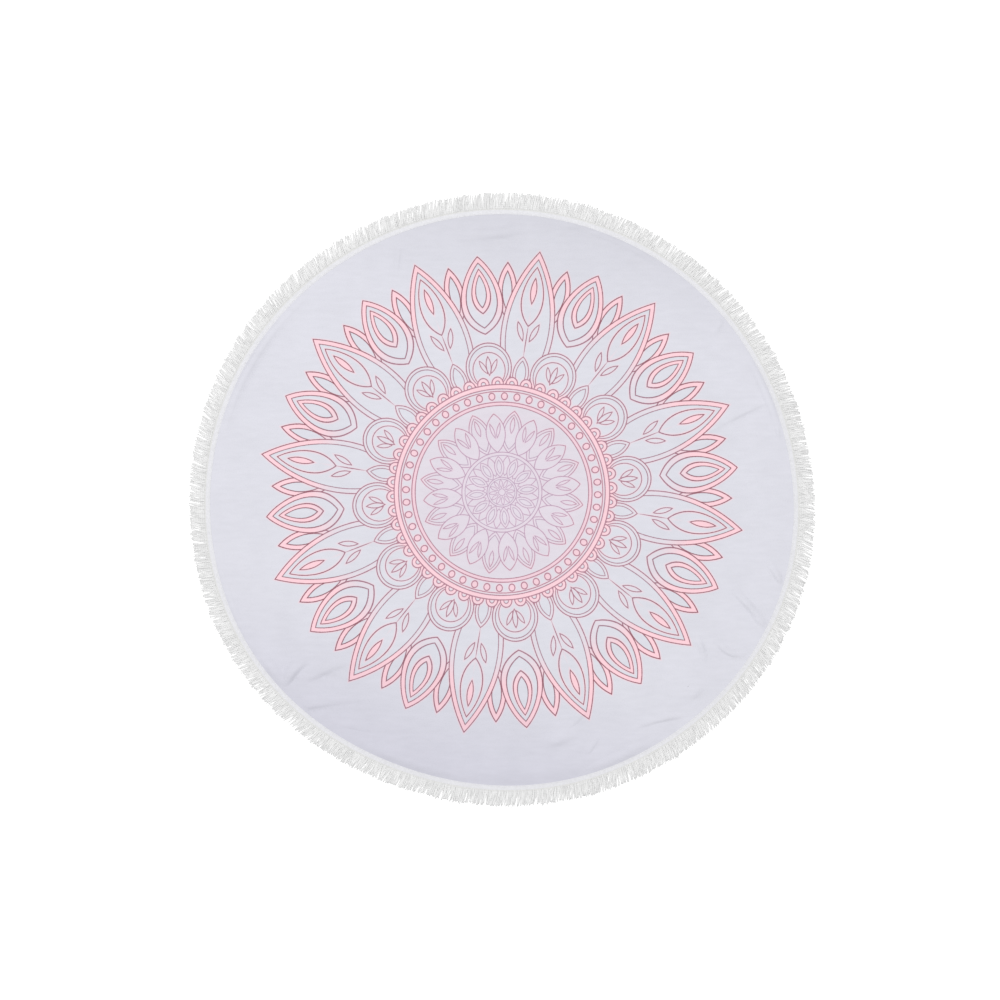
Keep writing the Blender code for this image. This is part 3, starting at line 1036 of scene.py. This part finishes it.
def yarnPath(chance, lock, share, wisp):
    # the line that one yarn follows, from under the tape to its cut end
    start, end, nextStart, reach, lean, flare = lock
    longer, side = fringe["longSide"]
    reach = fringe["reach"] + (reach - fringe["reach"]) * fringe["evenness"]
    lean = lean * fringe["evenness"]
    flare = 1.0 + (flare - 1.0) * fringe["evenness"]
    middle = 0.5 * (start + end)
    reach += longer * math.cos(middle - math.radians(side))
    turned = 2.0 * (middle - math.radians(fringe["slantCrest"]))
    lean -= fringe["slant"] * (1.0 + fringe["slantSpread"] * math.cos(turned))
    outward = Vector((math.cos(middle), math.sin(middle), 0.0))
    along = Vector((-outward.y, outward.x, 0.0))
    rootAngle = middle + share * (nextStart - start)
    base = float(edgeRadius(rootAngle)) + outline["seamGap"] + outline["tapeWidth"]
    base -= fringe["rootInset"]
    root = Vector((base * math.cos(rootAngle), base * math.sin(rootAngle), 0.0))
    pitch = (nextStart - start) * base
    shift = share * pitch * (fringe["tipWidth"] * flare - 1.0) + lean + wisp["stray"]
    shift += (wisp["share"] - share) * pitch * wisp["clump"]
    shift += chance.gauss(0.0, fringe["yarnStray"])
    length = reach + fringe["rootInset"] + wisp["longer"] + chance.gauss(0.0, fringe["uneven"])
    length -= fringe["shorter"][wisp["layer"]]
    length = min(length, reach + fringe["rootInset"] + fringe["longest"])
    curl = chance.gauss(0.0, fringe["curl"][0])
    phase = chance.uniform(0.0, 2.0 * math.pi)
    spread, straighter = fringe["radiusSpread"], fringe["straightening"]
    radius = fringe["yarnRadius"][wisp["layer"]] * chance.uniform(1.0 - spread, 1.0 + spread)
    raised = fringe["pile"] * (1.0 - wisp["layer"]) + chance.uniform(0.0, fringe["pileSpread"])
    centres = []
    for part, _ in yarnRows:
        bend = shift * part * part * (1.0 + straighter - straighter * part)
        bend += curl * part * math.sin(phase + fringe["curl"][1] * part)
        centre = root + outward * length * part + along * bend
        lift = raised * min(part / fringe["rise"], 1.0) * (1.0 - fringe["droop"] * part)
        lift += fringe["wobble"][0] * math.sin(phase + fringe["wobble"][1] * part)
        lowest = radius * fringe["clearance"]
        centre.z = max(lowest, radius + lift) if part > 0.0 else fringe["rootHeight"]
        centres.append(centre)
    return centres, radius, length


def makeYarns(name, locks, seed):
    chance = random.Random(seed)
    sides = fringe["yarnSides"]
    turn = 2.0 * math.pi / sides
    corners = [(math.cos(k * turn), math.sin(k * turn)) for k in range(sides)]
    vertices, faces, turns, cells = [], [], [], []
    count = 0
    for lock in locks:
        pitch = (lock[2] - lock[0]) * outline["clothRadius"]
        yarns = round(pitch / fringe["yarnPitch"])
        for index in range(yarns * fringe["layers"]):
            layer, place = index // yarns, index % yarns
            if place % fringe["wispYarns"] == 0:
                wisp = {
                    "layer": layer,
                    "share": min((place + 0.5 * fringe["wispYarns"]) / yarns, 1.0) - 0.5,
                    "stray": chance.gauss(0.0, fringe["wispStray"]),
                    "clump": chance.uniform(0.0, fringe["clump"]),
                    "longer": chance.gauss(0.0, fringe["wispUneven"] * fringe["uneven"]),
                }
            share = (place + 0.5 * layer + chance.uniform(*fringe["placeSpread"])) / yarns - 0.5
            centres, radius, length = yarnPath(chance, lock, share, wisp)
            first = len(vertices)
            for step, (centre, row) in enumerate(zip(centres, yarnRows, strict=True)):
                before = centres[max(step - 1, 0)]
                beyond = centres[min(step + 1, len(centres) - 1)]
                ahead = (beyond - before).normalized()
                side = Vector((-ahead.y, ahead.x, 0.0)).normalized() * radius * row[1]
                top = Vector((0.0, 0.0, radius * row[1]))
                vertices += [centre + side * c + top * s for c, s in corners]
            spans = len(centres) - 1
            for step in range(spans):
                low = first + sides * step
                high = low + sides
                near, far = yarnRows[step][0] * length, yarnRows[step + 1][0] * length
                shallow, deep = step / spans, (step + 1) / spans
                for k in range(sides):
                    after = (k + 1) % sides
                    faces.append((low + k, low + after, high + after, high + k))
                    # a hair inside the yarn's own whole number, which its material reads
                    left, right = count + (k + 0.01) / sides, count + (k + 0.99) / sides
                    turns += [(left, near), (right, near), (right, far), (left, far)]
                    start, stop = k / sides, (k + 1) / sides
                    cells += [(count, start, shallow), (count, stop, shallow),
                              (count, stop, deep), (count, start, deep)]
            last = first + sides * spans
            faces.append(tuple(first + sides - 1 - k for k in range(sides)))
            faces.append(tuple(last + k for k in range(sides)))
            turns += [(count + 0.5, 0.0)] * sides + [(count + 0.5, length)] * sides
            cells += [(count, 0.5, 0.02)] * sides + [(count, 0.5, 0.98)] * sides
            count += 1
    piece = pieceFrom(name, vertices, faces)
    piece.data.shade_smooth()

    # turns and metres for the twist, and a square map for baking with a cell for each yarn
    grid = math.ceil(math.sqrt(count))
    cells = np.array(cells)
    margin = fringe["mapMargin"]
    corner = np.stack([cells[:, 0] % grid, cells[:, 0] // grid], axis=1)
    mapped = (corner + margin + (1.0 - 2.0 * margin) * cells[:, 1:]) / grid
    setUvs(piece, {"yarn": turns, "OFBake": mapped})
    print(name, "made,", count, "yarns,", len(faces), "faces")
    return piece


allLocks = lockRows()
perPiece = fringe["locks"] // fringe["pieces"]
yarnFinish = yarnMaterial("cutYarn")
for part in range(fringe["pieces"]):
    locks = allLocks[part * perPiece:(part + 1) * perPiece]
    yarns = makeYarns("fringeYarns" + str(part + 1), locks, fringe["seed"] + 1 + part)
    takeFinish(yarns, yarnFinish, "trim", "fringe")

studio = {
    "floor": (0.97, 0.97, 0.97, 1.0),
    "floorSize": 50.0,
    "roughness": 0.9,
    "specular": 0.1,
    "floorGlow": 0.15,     # the floor is a lit white table
    "white": (1.0, 1.0, 1.0, 1.0),   # of its glow and of the fill
    "fill": 0.50,
    "lamps": (  # name, place, size, watts
        ("overheadSoftbox", (-0.65, 1.25, 8.6), 2.6, 492.0),
    ),
}


def makeStudio():
    bpy.ops.object.select_all(action="DESELECT")
    bpy.ops.mesh.primitive_plane_add(size=studio["floorSize"], location=(0.0, 0.0, 0.0))
    floor = bpy.context.object
    floor.name = floor.data.name = "floor"
    material, tree, surface = newMaterial("paleFloor")
    paint(tree, surface, studio["floor"], studio)
    give(tree, surface, {"Emission Color": studio["white"],
                         "Emission Strength": studio["floorGlow"]})
    floor.data.materials.append(material)
    for name, place, size, watts in studio["lamps"]:
        data = bpy.data.lights.new(name, "AREA")
        data.shape = "SQUARE"
        data.size = size
        data.energy = watts
        lamp = bpy.data.objects.new(name, data)
        lamp.location = place
        lamp.rotation_euler = (-Vector(place)).to_track_quat("-Z", "Y").to_euler()
        bpy.context.collection.objects.link(lamp)
    world = bpy.data.worlds.new("studio")
    world.use_nodes = True
    background = world.node_tree.nodes["Background"]
    give(world.node_tree, background, {"Color": studio["white"], "Strength": studio["fill"]})
    bpy.context.scene.world = world
    bpy.context.scene.view_settings.view_transform = "Standard"


makeStudio()
print("studio made")
